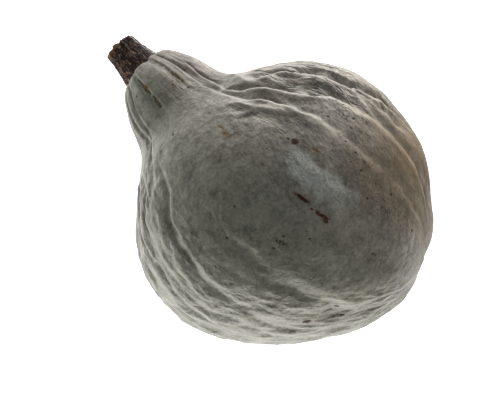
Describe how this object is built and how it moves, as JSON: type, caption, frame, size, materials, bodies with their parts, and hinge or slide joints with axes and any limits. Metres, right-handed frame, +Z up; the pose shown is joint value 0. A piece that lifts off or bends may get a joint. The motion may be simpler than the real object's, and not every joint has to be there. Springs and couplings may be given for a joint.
{
  "type": "blue hubbard squash",
  "caption": "Pear-shaped winter squash with a short neck, shallow ribs and a waxy grey-green rind, with its cut corky stem, lying on its side.",
  "frame": {"origin": "centre of the squash's outline seen from above, on the surface that it lies on", "axes": "+X along the squash from the stem to the blossom end, +Z up from the ground spot, +Y to the side that the blossom end is turned to"},
  "size_m": [0.33, 0.2558, 0.2502],
  "materials": {
    "rind": "waxy semi-matte rind, pale grey-green with a blue cast, bumpy and finely pitted, with a few brown corky scars and specks",
    "cork": "dry dark brown corky stem, rough, cracked lengthwise, with tan fibres and a paler cut end"
  },
  "bodies": {
    "root": {"fruit": "rind", "stem": "cork"}
  },
  "joints": []
}
